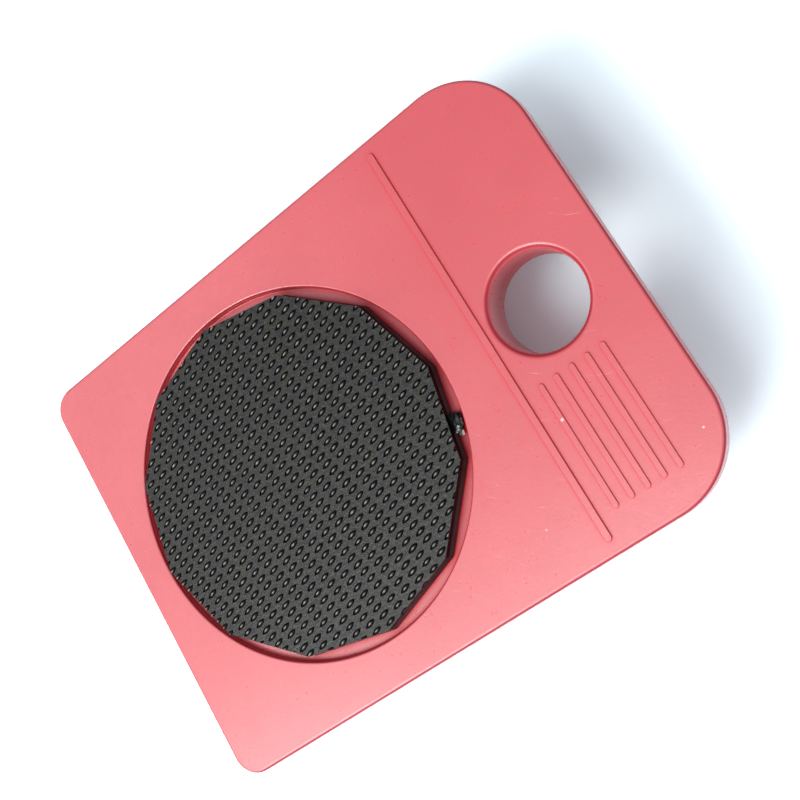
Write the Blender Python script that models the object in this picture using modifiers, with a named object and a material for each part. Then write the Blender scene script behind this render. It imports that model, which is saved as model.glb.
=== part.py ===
# Furniture moving roller: a moulded plate on four fixed wheels, with a turning disc and grip pad on top.
# Metres, +Z up. +X points to the grip end, and the origin is on the floor under the plate's middle.
import math

import bmesh
import bpy
from mathutils import Matrix

# Top plate
PLATE_LENGTH = 0.1000
PLATE_WIDTH = 0.0763
PLATE_EDGE_RADIUS = 0.0006
REAR_CORNER_RADIUS = 0.0043
GRIP_CORNER_RADIUS = 0.0132
RIM_DEPTH = 0.0033
RIM_OVERHANG = 0.0007  # the skirt stands back this far under the rim
SKIRT_DEPTH = 0.0075
SKIRT_WALL = 0.0020
DECK_THICKNESS = 0.0024

# Round recess that the disc turns in
TURN_SETBACK = 0.03673  # from the rear end to the turning axis
RECESS_DEPTH = 0.0014
RECESS_FLOOR = 0.0025
RECESS_WALL = 0.0020
RECESS_RIM_RADIUS = 0.0004

# Grip end with its finger hole, and the raised ridge that marks it off
GRIP_LENGTH = 0.0240  # from the grip end to the ridge
HOLE_SETBACK = 0.01385  # from the grip end to the hole's axis
HOLE_RADIUS = 0.0079
HOLE_RIM_RADIUS = 0.0007
HOLE_WALL = 0.0020
RIDGE_WIDTH = 0.0009
RIDGE_HEIGHT = 0.0003
RIDGE_END_GAP = 0.00235  # from the ridge's ends to the plate's sides
RIB_THICKNESS = 0.0015
RIB_PITCH = 0.0092
RIB_SETBACK = 0.0005  # ribs end this far above the skirt's lower edge

# Disc, pad and the pivot that holds them
DISC_SIDES = 12
DISC_RADIUS = 0.02965  # from the axis to a corner
DISC_SIDE_GAP = 0.00115  # from a corner to the recess's wall
DISC_TURN = math.radians(2.6)  # the first corner's angle from +X
DISC_THICKNESS = 0.0011
PAD_THICKNESS = 0.0015
HUB_RADIUS = 0.0065
HUB_RUNNING_GAP = 0.0004
PIVOT_COVER = 0.0009  # plastic left above the pivot screw's bore
PIVOT_SHANK_RADIUS = 0.0020
PIVOT_HEAD_RADIUS = 0.0040
PIVOT_HEAD_HEIGHT = 0.0022
WASHER_RADIUS = 0.0100
WASHER_THICKNESS = 0.0012

# Wheels and axles
WHEEL_RADIUS = 0.0085
WHEEL_WIDTH = 0.0110
WHEEL_EDGE_RADIUS = 0.0010
WHEEL_RIM = 0.0020
WHEEL_HUB_RADIUS = 0.0042
WHEEL_DISH_DEPTH = 0.0008
WHEEL_TOP_GAP = 0.0030
WHEEL_SIDE_GAP = 0.0005
WHEEL_END_GAP = 0.0008
AXLE_RADIUS = 0.0020
AXLE_CHAMFER = 0.0003
AXLE_RUNNING_GAP = 0.0003

# Wheel carrier under the plate
GROUND_CLEARANCE = 0.0045
CARRIER_FLOOR = 0.0020
CARRIER_WALL = 0.0035
CARRIER_EDGE_RADIUS = 0.0006
BAY_CORNER_RADIUS = 0.0008
CARRIER_SETBACK = 0.0030  # from the ridge back to the carrier's grip side
WELL_WALL = 0.0020
SLOT_SKIN = 0.0010  # wall left outside the blind axle slots
ACCESS_GAP = 0.0012  # round the pivot washer, in the carrier's floor

# Screws that hold the carrier to the plate
SCREW_SHANK_RADIUS = 0.00145
SCREW_HEAD_RADIUS = 0.0030
SCREW_HEAD_HEIGHT = 0.0016
SCREW_HEAD_SINK = 0.0002
SCREW_SEAT = 0.0020
SCREW_COVER = 0.0015  # plastic left above the pilot holes
SCREW_PAIR_Y = 0.0080  # the end screws' distance from the middle line
SCREW_END_GAP = 0.0015  # from a screw's boss to the carrier's end wall
BOSS_WALL = 0.0018

# Cross recess, as shares of the screw head that it is cut in
CROSS_REACH = 0.52
CROSS_SLOT = 0.28
CROSS_TIP = 0.20
CROSS_DEPTH = 0.50
HEAD_EDGE = 0.45
HEAD_CROWN = 0.60

# Clearances and mesh steps
SEAT_GAP = 0.0003  # between pieces that sit on each other
NEST_GAP = 0.00035  # between the carrier and the skirt round it
LEAST_CORNER = 0.0005  # radius left where a wall uses up a corner's own
CUT_PAST = 0.0020  # how far a cutter runs past the face that it opens
WELD = 0.000001
LARGE_STEPS = 72
HOLE_STEPS = 48
WHEEL_STEPS = 32
SMALL_STEPS = 16
CORNER_STEPS = 8
RIM_STEPS = 2
EDGE_ANGLE = math.radians(60)  # edges sharper than this are rounded
SMOOTH_ANGLE = math.radians(40)  # edges flatter than this are shaded smooth

# Heights, from the floor up
AXLE_Z = WHEEL_RADIUS
CUP_BOTTOM_Z = 2 * WHEEL_RADIUS + WHEEL_TOP_GAP
RECESS_FLOOR_Z = CUP_BOTTOM_Z + RECESS_FLOOR
DECK_Z = RECESS_FLOOR_Z + RECESS_DEPTH
DECK_MIDDLE_Z = DECK_Z - DECK_THICKNESS / 2
DECK_UNDERSIDE_Z = DECK_Z - DECK_THICKNESS
RIM_Z = DECK_Z - RIM_DEPTH
SKIRT_Z = DECK_Z - SKIRT_DEPTH
DISC_BOTTOM_Z = RECESS_FLOOR_Z + SEAT_GAP
DISC_TOP_Z = DISC_BOTTOM_Z + DISC_THICKNESS
PAD_BOTTOM_Z = DISC_TOP_Z + SEAT_GAP
PAD_TOP_Z = PAD_BOTTOM_Z + PAD_THICKNESS
WASHER_TOP_Z = CUP_BOTTOM_Z - SEAT_GAP
WASHER_BOTTOM_Z = WASHER_TOP_Z - WASHER_THICKNESS
PIVOT_SEAT_Z = WASHER_BOTTOM_Z - SEAT_GAP
PIVOT_BORE_Z = DISC_TOP_Z - PIVOT_COVER
CARRIER_TOP_Z = CUP_BOTTOM_Z - SEAT_GAP
CARRIER_FLOOR_Z = GROUND_CLEARANCE + CARRIER_FLOOR
SCREW_SEAT_Z = GROUND_CLEARANCE + SCREW_HEAD_SINK + SCREW_HEAD_HEIGHT
COUNTERBORE_Z = SCREW_SEAT_Z + SEAT_GAP
SCREW_PAD_Z = COUNTERBORE_Z + SCREW_SEAT
BOSS_Z = SCREW_PAD_Z + SEAT_GAP
PILOT_Z = RECESS_FLOOR_Z - SCREW_COVER
KEEPER_Z = AXLE_Z + AXLE_RADIUS + SEAT_GAP

# Places along X
GRIP_END_X = PLATE_LENGTH / 2
REAR_END_X = -PLATE_LENGTH / 2
TURN_X = REAR_END_X + TURN_SETBACK
HOLE_X = GRIP_END_X - HOLE_SETBACK
RIDGE_X = GRIP_END_X - GRIP_LENGTH
CARRIER_REAR_X = REAR_END_X + SKIRT_WALL + NEST_GAP
CARRIER_GRIP_X = RIDGE_X - CARRIER_SETBACK
BAY_REAR_X = CARRIER_REAR_X + CARRIER_WALL
BAY_GRIP_X = CARRIER_GRIP_X - CARRIER_WALL
WELL_HALF_LENGTH = WHEEL_RADIUS + WHEEL_END_GAP
AXLE_REAR_X = BAY_REAR_X + WELL_HALF_LENGTH
AXLE_FRONT_X = BAY_GRIP_X - WELL_HALF_LENGTH
GRIP_WALL_X = CARRIER_GRIP_X + NEST_GAP + RIB_THICKNESS / 2

# Places along Y, on the left side
PLATE_HALF_WIDTH = PLATE_WIDTH / 2
CARRIER_HALF_WIDTH = PLATE_HALF_WIDTH - SKIRT_WALL - NEST_GAP
WELL_OUTER_Y = CARRIER_HALF_WIDTH - CARRIER_WALL
WHEEL_Y = WELL_OUTER_Y - WHEEL_SIDE_GAP - WHEEL_WIDTH / 2
WELL_INNER_Y = WHEEL_Y - WHEEL_WIDTH / 2 - WHEEL_SIDE_GAP
SLOT_OUTER_Y = CARRIER_HALF_WIDTH - SLOT_SKIN
SLOT_INNER_Y = WELL_INNER_Y - CARRIER_WALL + SLOT_SKIN
AXLE_Y = (SLOT_OUTER_Y + SLOT_INNER_Y) / 2
AXLE_LENGTH = SLOT_OUTER_Y - SLOT_INNER_Y - 2 * SEAT_GAP

# Radii and widths that follow from the fits
RECESS_RADIUS = DISC_RADIUS + DISC_SIDE_GAP
CUP_RADIUS = RECESS_RADIUS + RECESS_WALL
TUBE_RADIUS = HOLE_RADIUS + HOLE_WALL
HUB_BORE_RADIUS = HUB_RADIUS + HUB_RUNNING_GAP
PIVOT_BORE_RADIUS = PIVOT_SHANK_RADIUS + SEAT_GAP
WHEEL_BORE_RADIUS = (AXLE_RADIUS + AXLE_RUNNING_GAP) / math.cos(math.pi / WHEEL_STEPS)
SLOT_HALF_WIDTH = AXLE_RADIUS + SEAT_GAP
KEEPER_WIDTH = 2 * (SLOT_HALF_WIDTH - SEAT_GAP)
SCREW_HOLE_RADIUS = SCREW_SHANK_RADIUS + SEAT_GAP
COUNTERBORE_RADIUS = SCREW_HEAD_RADIUS + SEAT_GAP
SCREW_PAD_RADIUS = COUNTERBORE_RADIUS + BOSS_WALL
BOSS_RADIUS = SCREW_HOLE_RADIUS + BOSS_WALL
ACCESS_RADIUS = WASHER_RADIUS + ACCESS_GAP
SCREW_REAR_X = BAY_REAR_X + SCREW_END_GAP + SCREW_PAD_RADIUS
SCREW_FRONT_X = BAY_GRIP_X - SCREW_END_GAP - SCREW_PAD_RADIUS
SCREW_MIDDLE_X = (AXLE_REAR_X + AXLE_FRONT_X) / 2

SIDES = {"left": 1, "right": -1}
AXLES = {"front": AXLE_FRONT_X, "rear": AXLE_REAR_X}
SCREW_PLACES = {
    "front_left": (SCREW_FRONT_X, SCREW_PAIR_Y),
    "front_right": (SCREW_FRONT_X, -SCREW_PAIR_Y),
    "middle_left": (SCREW_MIDDLE_X, WHEEL_Y),
    "middle_right": (SCREW_MIDDLE_X, -WHEEL_Y),
    "rear_left": (SCREW_REAR_X, SCREW_PAIR_Y),
    "rear_right": (SCREW_REAR_X, -SCREW_PAIR_Y),
}


def clear_scene():
    for obj in list(bpy.data.objects):
        bpy.data.objects.remove(obj, do_unlink=True)


def new_collection(name):
    collection = bpy.data.collections.new(name)
    bpy.context.scene.collection.children.link(collection)
    return collection


def new_material(name, colour, roughness, metallic=0.0):
    material = bpy.data.materials.new(name)
    material.use_nodes = True
    shader = material.node_tree.nodes["Principled BSDF"]
    shader.inputs["Base Color"].default_value = (*colour, 1.0)
    shader.inputs["Roughness"].default_value = roughness
    shader.inputs["Metallic"].default_value = metallic
    return material


clear_scene()
PARTS = new_collection("furniture_roller")
CUTTERS = new_collection("furniture_roller_cutters")
RED_PLASTIC = new_material("red_plastic", (0.72, 0.13, 0.15), 0.45)
BLACK_PLASTIC = new_material("black_plastic", (0.025, 0.025, 0.027), 0.40)
RUBBER = new_material("rubber", (0.045, 0.046, 0.048), 0.60)
NYLON = new_material("wheel_nylon", (0.05, 0.05, 0.055), 0.45)
STEEL = new_material("steel", (0.56, 0.57, 0.58), 0.32, 1.0)


def add_part(name, mesh, material, parent=None):
    obj = bpy.data.objects.new(name, mesh)
    PARTS.objects.link(obj)
    obj.parent = parent
    if not mesh.materials:
        mesh.materials.append(material)
    return obj


def add_cutter(name, mesh):
    obj = bpy.data.objects.new(name, mesh)
    CUTTERS.objects.link(obj)
    obj.hide_render = True
    obj.display_type = "WIRE"
    return obj


def add_empty(name, place):
    obj = bpy.data.objects.new(name, None)
    PARTS.objects.link(obj)
    obj.location = place
    return obj


def mesh_from(bm, name):
    mesh = bpy.data.meshes.new(name)
    bmesh.ops.recalc_face_normals(bm, faces=bm.faces)
    bm.to_mesh(mesh)
    bm.free()
    return mesh


def bake(obj):
    # The object's shape as a welded mesh; the object itself is removed.
    depsgraph = bpy.context.evaluated_depsgraph_get()
    raw = bpy.data.meshes.new_from_object(obj.evaluated_get(depsgraph))
    bm = bmesh.new()
    bm.from_mesh(raw)
    bmesh.ops.remove_doubles(bm, verts=bm.verts, dist=WELD)
    bpy.data.objects.remove(obj, do_unlink=True)
    return mesh_from(bm, raw.name)


def arc(centre, radius, start, end, steps):
    # Points on an arc, with angles in degrees.
    angles = [math.radians(start + (end - start) * i / steps) for i in range(steps + 1)]
    return [(centre[0] + radius * math.cos(a), centre[1] + radius * math.sin(a)) for a in angles]


def rounded_outline(x_low, x_high, half_width, low_radius, high_radius):
    # A rectangle about the X axis, with one corner radius at each end.
    points = arc((x_high - high_radius, half_width - high_radius), high_radius, 0, 90, CORNER_STEPS)
    points += arc((x_low + low_radius, half_width - low_radius), low_radius, 90, 180, CORNER_STEPS)
    points += arc((x_low + low_radius, low_radius - half_width), low_radius, 180, 270, CORNER_STEPS)
    points += arc((x_high - high_radius, high_radius - half_width), high_radius, 270, 360, CORNER_STEPS)
    return points


def outline_mesh(name, outline, low, high):
    # A flat outline in XY, extruded from low to high.
    curve = bpy.data.curves.new(name, "CURVE")
    curve.dimensions = "2D"
    curve.fill_mode = "BOTH"
    curve.extrude = (high - low) / 2
    spline = curve.splines.new("POLY")
    spline.points.add(len(outline) - 1)
    for point, (x, y) in zip(spline.points, outline):
        point.co = (x, y, 0.0, 1.0)
    spline.use_cyclic_u = True
    obj = bpy.data.objects.new(name, curve)
    CUTTERS.objects.link(obj)
    mesh = bake(obj)
    mesh.transform(Matrix.Translation((0.0, 0.0, (low + high) / 2)))
    return mesh


def cylinders_mesh(name, places, radius, low, high, steps):
    bm = bmesh.new()
    for x, y in places:
        bmesh.ops.create_cone(
            bm, cap_ends=True, segments=steps, radius1=radius, radius2=radius, depth=high - low,
            matrix=Matrix.Translation((x, y, (low + high) / 2)))
    return mesh_from(bm, name)


def boxes_mesh(name, boxes):
    # Each box is ((x_low, x_high), (y_low, y_high), (z_low, z_high)).
    bm = bmesh.new()
    for spans in boxes:
        middle = [(low + high) / 2 for low, high in spans]
        size = [high - low for low, high in spans]
        bmesh.ops.create_cube(bm, size=1.0, matrix=Matrix.Translation(middle) @ Matrix.Diagonal((*size, 1.0)))
    return mesh_from(bm, name)


def turned_mesh(name, profile, steps, closed=False):
    # A profile of (radius, height) points that runs down its outer side, turned about Z.
    bm = bmesh.new()
    points = [bm.verts.new((radius, 0.0, height)) for radius, height in profile]
    for first, second in zip(points, points[1:]):
        bm.edges.new((first, second))
    if closed:
        bm.edges.new((points[-1], points[0]))
    mesh = bpy.data.meshes.new(name)
    bm.to_mesh(mesh)
    bm.free()
    obj = bpy.data.objects.new(name, mesh)
    CUTTERS.objects.link(obj)
    screw = obj.modifiers.new("turn", "SCREW")
    screw.steps = steps
    screw.render_steps = steps
    screw.use_merge_vertices = True
    screw.merge_threshold = WELD
    solid = bake(obj)
    solid.shade_smooth()
    solid.set_sharp_from_angle(angle=SMOOTH_ANGLE)
    return solid


def copies_mesh(name, mesh, places):
    bm = bmesh.new()
    for x, y in places:
        copy = mesh.copy()
        copy.transform(Matrix.Translation((x, y, 0.0)))
        bm.from_mesh(copy)
    return mesh_from(bm, name)


def boolean(obj, operation, name, mesh):
    modifier = obj.modifiers.new(name, "BOOLEAN")
    modifier.operation = operation
    modifier.object = add_cutter(name, mesh)
    return modifier.object


def round_edges(obj, radius):
    bevel = obj.modifiers.new("round_edges", "BEVEL")
    bevel.width = radius
    bevel.segments = RIM_STEPS
    bevel.limit_method = "ANGLE"
    bevel.angle_limit = EDGE_ANGLE


def lipped_profile(radius, rim, low):
    # A round cutter down to height low, flared at the deck so that it leaves a rounded rim there.
    lip = arc((radius + rim, DECK_Z - rim), rim, 90, 180, RIM_STEPS)
    return [(0.0, DECK_Z + CUT_PAST), (radius + rim, DECK_Z + CUT_PAST), *lip, (radius, low)]


def plate_outline(inset):
    rear = max(REAR_CORNER_RADIUS - inset, LEAST_CORNER)
    grip = max(GRIP_CORNER_RADIUS - inset, LEAST_CORNER)
    return rounded_outline(REAR_END_X + inset, GRIP_END_X - inset, PLATE_HALF_WIDTH - inset, rear, grip)


def rib_boxes():
    reach = PLATE_HALF_WIDTH - SKIRT_WALL
    count = int(reach / RIB_PITCH)
    span_z = (SKIRT_Z + RIB_SETBACK, DECK_MIDDLE_Z)
    half = RIB_THICKNESS / 2
    middles = [RIB_PITCH * index for index in range(-count, count + 1)]
    return [((GRIP_WALL_X, GRIP_END_X), (y - half, y + half), span_z) for y in middles]


def keeper_boxes():
    # Blocks that drop into the carrier's axle slots and trap each axle from above.
    boxes = []
    for x in AXLES.values():
        span_x = (x - KEEPER_WIDTH / 2, x + KEEPER_WIDTH / 2)
        for side in SIDES.values():
            outer = (WELL_OUTER_Y, SLOT_OUTER_Y - SEAT_GAP)
            inner = (SLOT_INNER_Y + SEAT_GAP, WELL_INNER_Y)
            for span in (outer, inner):
                boxes.append((span_x, sorted((side * span[0], side * span[1])), (KEEPER_Z, DECK_MIDDLE_Z)))
    return boxes


def underside():
    # All that hangs under the deck: cup, hole tube, grip ribs, screw bosses and axle keepers.
    cup = cylinders_mesh("cup", [(TURN_X, 0.0)], CUP_RADIUS, CUP_BOTTOM_Z, DECK_MIDDLE_Z, LARGE_STEPS)
    obj = add_cutter("plate_underside", cup)
    tube = cylinders_mesh("hole_tube", [(HOLE_X, 0.0)], TUBE_RADIUS, SKIRT_Z, DECK_MIDDLE_Z, HOLE_STEPS)
    boolean(obj, "UNION", "hole_tube", tube)
    wall_x = (GRIP_WALL_X - RIB_THICKNESS / 2, GRIP_WALL_X + RIB_THICKNESS / 2)
    wall = (wall_x, (-PLATE_HALF_WIDTH, PLATE_HALF_WIDTH), (SKIRT_Z + RIB_SETBACK, DECK_MIDDLE_Z))
    boolean(obj, "UNION", "grip_wall", boxes_mesh("grip_wall", [wall]))
    boolean(obj, "UNION", "grip_ribs", boxes_mesh("grip_ribs", rib_boxes()))
    bosses = cylinders_mesh("bosses", SCREW_PLACES.values(), BOSS_RADIUS, BOSS_Z, DECK_MIDDLE_Z, SMALL_STEPS)
    boolean(obj, "UNION", "bosses", bosses)
    boolean(obj, "UNION", "keepers", boxes_mesh("keepers", keeper_boxes()))
    core = outline_mesh("skirt_core", plate_outline(SKIRT_WALL / 2), 0.0, DECK_Z)
    boolean(obj, "INTERSECT", "skirt_core", core)
    return obj


def ridge_outline():
    half = PLATE_HALF_WIDTH - RIDGE_END_GAP - RIDGE_WIDTH / 2
    points = arc((RIDGE_X, half), RIDGE_WIDTH / 2, 0, 180, CORNER_STEPS)
    points += arc((RIDGE_X, -half), RIDGE_WIDTH / 2, 180, 360, CORNER_STEPS)
    return points


def make_top_plate():
    plate = add_part("top_plate", outline_mesh("top_plate", plate_outline(0.0), RIM_Z, DECK_Z), RED_PLASTIC)
    round_edges(plate, PLATE_EDGE_RADIUS)
    skirt = outline_mesh("skirt", plate_outline(RIM_OVERHANG), SKIRT_Z, DECK_MIDDLE_Z)
    boolean(plate, "UNION", "skirt", skirt)
    hollow = outline_mesh("hollow", plate_outline(SKIRT_WALL), SKIRT_Z - CUT_PAST, DECK_UNDERSIDE_Z)
    boolean(plate, "DIFFERENCE", "hollow", hollow)
    join = plate.modifiers.new("underside", "BOOLEAN")
    join.operation = "UNION"
    join.object = underside()
    ridge = outline_mesh("ridge", ridge_outline(), DECK_MIDDLE_Z, DECK_Z + RIDGE_HEIGHT)
    boolean(plate, "UNION", "ridge", ridge)
    below = CUP_BOTTOM_Z - CUT_PAST
    recess = lipped_profile(RECESS_RADIUS, RECESS_RIM_RADIUS, RECESS_FLOOR_Z)
    recess += [(HUB_BORE_RADIUS, RECESS_FLOOR_Z), (HUB_BORE_RADIUS, below), (0.0, below)]
    cutter = boolean(plate, "DIFFERENCE", "recess", turned_mesh("recess", recess, LARGE_STEPS))
    cutter.location.x = TURN_X
    below = SKIRT_Z - CUT_PAST
    hole = [*lipped_profile(HOLE_RADIUS, HOLE_RIM_RADIUS, below), (0.0, below)]
    cutter = boolean(plate, "DIFFERENCE", "finger_hole", turned_mesh("finger_hole", hole, HOLE_STEPS))
    cutter.location.x = HOLE_X
    pilots = cylinders_mesh(
        "pilot_holes", SCREW_PLACES.values(), SCREW_HOLE_RADIUS, BOSS_Z - CUT_PAST, PILOT_Z, SMALL_STEPS)
    boolean(plate, "DIFFERENCE", "pilot_holes", pilots)


def bearing_walls():
    boxes = []
    for side in SIDES.values():
        span_y = sorted((side * WELL_INNER_Y, side * (WELL_INNER_Y - CARRIER_WALL)))
        span_x = (CARRIER_REAR_X + CARRIER_WALL / 2, CARRIER_GRIP_X - CARRIER_WALL / 2)
        boxes.append((span_x, span_y, (GROUND_CLEARANCE + CARRIER_FLOOR / 2, CARRIER_TOP_Z)))
    return boxes


def well_walls():
    # The wall on the middle side of each wheel well.
    boxes = []
    for side in SIDES.values():
        span_y = sorted((side * (WELL_INNER_Y - CARRIER_WALL / 2), side * (WELL_OUTER_Y + CARRIER_WALL / 2)))
        for axle_x, toward in ((AXLE_REAR_X, 1), (AXLE_FRONT_X, -1)):
            near = axle_x + toward * WELL_HALF_LENGTH
            span_x = sorted((near, near + toward * WELL_WALL))
            boxes.append((span_x, span_y, (GROUND_CLEARANCE + CARRIER_FLOOR / 2, CARRIER_TOP_Z)))
    return boxes


def wheel_windows():
    boxes = []
    for x in AXLES.values():
        for side in SIDES.values():
            span_y = sorted((side * WELL_INNER_Y, side * WELL_OUTER_Y))
            span_z = (GROUND_CLEARANCE - CUT_PAST, CARRIER_FLOOR_Z + CUT_PAST)
            boxes.append(((x - WELL_HALF_LENGTH, x + WELL_HALF_LENGTH), span_y, span_z))
    return boxes


def axle_slots():
    # A slot with a round bottom on the axle's axis, open upward, for each axle.
    bottom = arc((0.0, 0.0), SLOT_HALF_WIDTH / math.cos(math.pi / SMALL_STEPS), 180, 360, SMALL_STEPS // 2)
    top = CARRIER_TOP_Z - AXLE_Z + CUT_PAST
    outline = [*bottom, (bottom[-1][0], top), (bottom[0][0], top)]
    slot = outline_mesh("axle_slot", outline, SLOT_INNER_Y, SLOT_OUTER_Y)
    # The outline's Y becomes height, and its extrusion runs across the roller.
    slot.transform(Matrix(((1, 0, 0, 0), (0, 0, 1, 0), (0, 1, 0, AXLE_Z), (0, 0, 0, 1))))
    bm = bmesh.new()
    for x in AXLES.values():
        for side in SIDES.values():
            copy = slot.copy()
            copy.transform(Matrix.Translation((x, 0.0, 0.0)) @ Matrix.Diagonal((1.0, side, 1.0, 1.0)))
            bm.from_mesh(copy)
    return mesh_from(bm, "axle_slots")


def make_wheel_carrier():
    corner = max(REAR_CORNER_RADIUS - SKIRT_WALL - NEST_GAP, LEAST_CORNER + CARRIER_EDGE_RADIUS)
    outer = rounded_outline(CARRIER_REAR_X, CARRIER_GRIP_X, CARRIER_HALF_WIDTH, corner, corner)
    carrier = add_part(
        "wheel_carrier", outline_mesh("wheel_carrier", outer, GROUND_CLEARANCE, CARRIER_TOP_Z), RED_PLASTIC)
    round_edges(carrier, CARRIER_EDGE_RADIUS)
    bay = rounded_outline(BAY_REAR_X, BAY_GRIP_X, WELL_OUTER_Y, BAY_CORNER_RADIUS, BAY_CORNER_RADIUS)
    boolean(carrier, "DIFFERENCE", "bay", outline_mesh("bay", bay, CARRIER_FLOOR_Z, CARRIER_TOP_Z + CUT_PAST))
    boolean(carrier, "UNION", "bearing_walls", boxes_mesh("bearing_walls", bearing_walls()))
    boolean(carrier, "UNION", "well_walls", boxes_mesh("well_walls", well_walls()))
    floor_middle = GROUND_CLEARANCE + CARRIER_FLOOR / 2
    pads = cylinders_mesh(
        "screw_pads", SCREW_PLACES.values(), SCREW_PAD_RADIUS, floor_middle, SCREW_PAD_Z, SMALL_STEPS)
    boolean(carrier, "UNION", "screw_pads", pads)
    boolean(carrier, "DIFFERENCE", "wheel_windows", boxes_mesh("wheel_windows", wheel_windows()))
    boolean(carrier, "DIFFERENCE", "axle_slots", axle_slots())
    low = GROUND_CLEARANCE - CUT_PAST
    high = SCREW_PAD_Z + CUT_PAST
    profile = [(0.0, high), (SCREW_HOLE_RADIUS, high), (SCREW_HOLE_RADIUS, COUNTERBORE_Z)]
    profile += [(COUNTERBORE_RADIUS, COUNTERBORE_Z), (COUNTERBORE_RADIUS, low), (0.0, low)]
    hole = turned_mesh("screw_hole", profile, SMALL_STEPS)
    boolean(carrier, "DIFFERENCE", "screw_holes", copies_mesh("screw_holes", hole, SCREW_PLACES.values()))
    access = cylinders_mesh(
        "access_hole", [(TURN_X, 0.0)], ACCESS_RADIUS, low, CARRIER_FLOOR_Z + CUT_PAST, HOLE_STEPS)
    boolean(carrier, "DIFFERENCE", "access_hole", access)


def polygon_outline():
    step = 2 * math.pi / DISC_SIDES
    angles = [DISC_TURN + step * index for index in range(DISC_SIDES)]
    return [(DISC_RADIUS * math.cos(a), DISC_RADIUS * math.sin(a)) for a in angles]


def screw_mesh(name, shank_radius, length, head_radius, head_height):
    # A pan-head screw, point up, with the underside of its head at height zero.
    crown = HEAD_CROWN * head_radius
    profile = [(0.0, length), (shank_radius, length - shank_radius), (shank_radius, 0.0), (head_radius, 0.0)]
    profile += [(head_radius, -HEAD_EDGE * head_height), (crown, -head_height), (0.0, -head_height)]
    obj = add_cutter(name, turned_mesh(name, profile, SMALL_STEPS))
    reach = CROSS_REACH * head_radius
    half = CROSS_SLOT * head_radius / 2
    tip = CROSS_TIP * head_radius / 2
    arm = [(reach, -tip), (reach, tip), (half, half)]
    outline = []
    for _ in range(4):
        outline += arm
        arm = [(-y, x) for x, y in arm]
    cross = outline_mesh(name + "_cross", outline, -head_height - CUT_PAST, (CROSS_DEPTH - 1) * head_height)
    boolean(obj, "DIFFERENCE", name + "_cross", cross)
    return bake(obj)


def make_turntable():
    axis = add_empty("turntable_axis", (TURN_X, 0.0, 0.0))
    outline = polygon_outline()
    plain_disc = outline_mesh("turntable_disc", outline, DISC_BOTTOM_Z, DISC_TOP_Z)
    disc = add_part("turntable_disc", plain_disc, BLACK_PLASTIC, axis)
    centre = [(TURN_X, 0.0)]
    hub_top = DISC_TOP_Z - DISC_THICKNESS / 2
    hub = cylinders_mesh("disc_hub", centre, HUB_RADIUS, CUP_BOTTOM_Z, hub_top, WHEEL_STEPS)
    boolean(disc, "UNION", "disc_hub", hub)
    bore = cylinders_mesh(
        "pivot_bore", centre, PIVOT_BORE_RADIUS, CUP_BOTTOM_Z - CUT_PAST, PIVOT_BORE_Z, SMALL_STEPS)
    boolean(disc, "DIFFERENCE", "pivot_bore", bore)
    add_part("grip_pad", outline_mesh("grip_pad", outline, PAD_BOTTOM_Z, PAD_TOP_Z), RUBBER, axis)
    ring = [
        (WASHER_RADIUS, WASHER_TOP_Z), (WASHER_RADIUS, WASHER_BOTTOM_Z),
        (PIVOT_BORE_RADIUS, WASHER_BOTTOM_Z), (PIVOT_BORE_RADIUS, WASHER_TOP_Z)]
    add_part("pivot_washer", turned_mesh("pivot_washer", ring, WHEEL_STEPS, closed=True), STEEL, axis)
    length = PIVOT_BORE_Z - SEAT_GAP - PIVOT_SEAT_Z
    screw = screw_mesh("pivot_screw", PIVOT_SHANK_RADIUS, length, PIVOT_HEAD_RADIUS, PIVOT_HEAD_HEIGHT)
    add_part("pivot_screw", screw, STEEL, axis).location.z = PIVOT_SEAT_Z


def wheel_profile():
    half = WHEEL_WIDTH / 2
    edge = WHEEL_RADIUS - WHEEL_EDGE_RADIUS
    rim = WHEEL_RADIUS - WHEEL_RIM
    dish = half - WHEEL_DISH_DEPTH
    points = arc((edge, half - WHEEL_EDGE_RADIUS), WHEEL_EDGE_RADIUS, 90, 0, RIM_STEPS)
    points += arc((edge, WHEEL_EDGE_RADIUS - half), WHEEL_EDGE_RADIUS, 0, -90, RIM_STEPS)
    points += [(rim, -half), (rim, -dish), (WHEEL_HUB_RADIUS, -dish), (WHEEL_HUB_RADIUS, -half)]
    points += [(WHEEL_BORE_RADIUS, -half), (WHEEL_BORE_RADIUS, half)]
    points += [(WHEEL_HUB_RADIUS, half), (WHEEL_HUB_RADIUS, dish), (rim, dish), (rim, half)]
    return points


def axle_profile():
    half = AXLE_LENGTH / 2
    side = half - AXLE_CHAMFER
    end = AXLE_RADIUS - AXLE_CHAMFER
    return [(0.0, half), (end, half), (AXLE_RADIUS, side), (AXLE_RADIUS, -side), (end, -half), (0.0, -half)]


def make_wheels():
    wheel = turned_mesh("wheel", wheel_profile(), WHEEL_STEPS, closed=True)
    axle = turned_mesh("axle", axle_profile(), SMALL_STEPS)
    for end, x in AXLES.items():
        for hand, side in SIDES.items():
            for kind, mesh, y, material in (("wheel", wheel, WHEEL_Y, NYLON), ("axle", axle, AXLE_Y, STEEL)):
                obj = add_part(f"{kind}_{end}_{hand}", mesh, material)
                obj.location = (x, side * y, AXLE_Z)
                obj.rotation_euler.x = math.pi / 2


def make_carrier_screws():
    length = PILOT_Z - SEAT_GAP - SCREW_SEAT_Z
    screw = screw_mesh("carrier_screw", SCREW_SHANK_RADIUS, length, SCREW_HEAD_RADIUS, SCREW_HEAD_HEIGHT)
    for place, (x, y) in SCREW_PLACES.items():
        add_part(f"carrier_screw_{place}", screw, STEEL).location = (x, y, SCREW_SEAT_Z)


make_top_plate()
make_wheel_carrier()
make_turntable()
make_wheels()
make_carrier_screws()
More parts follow.
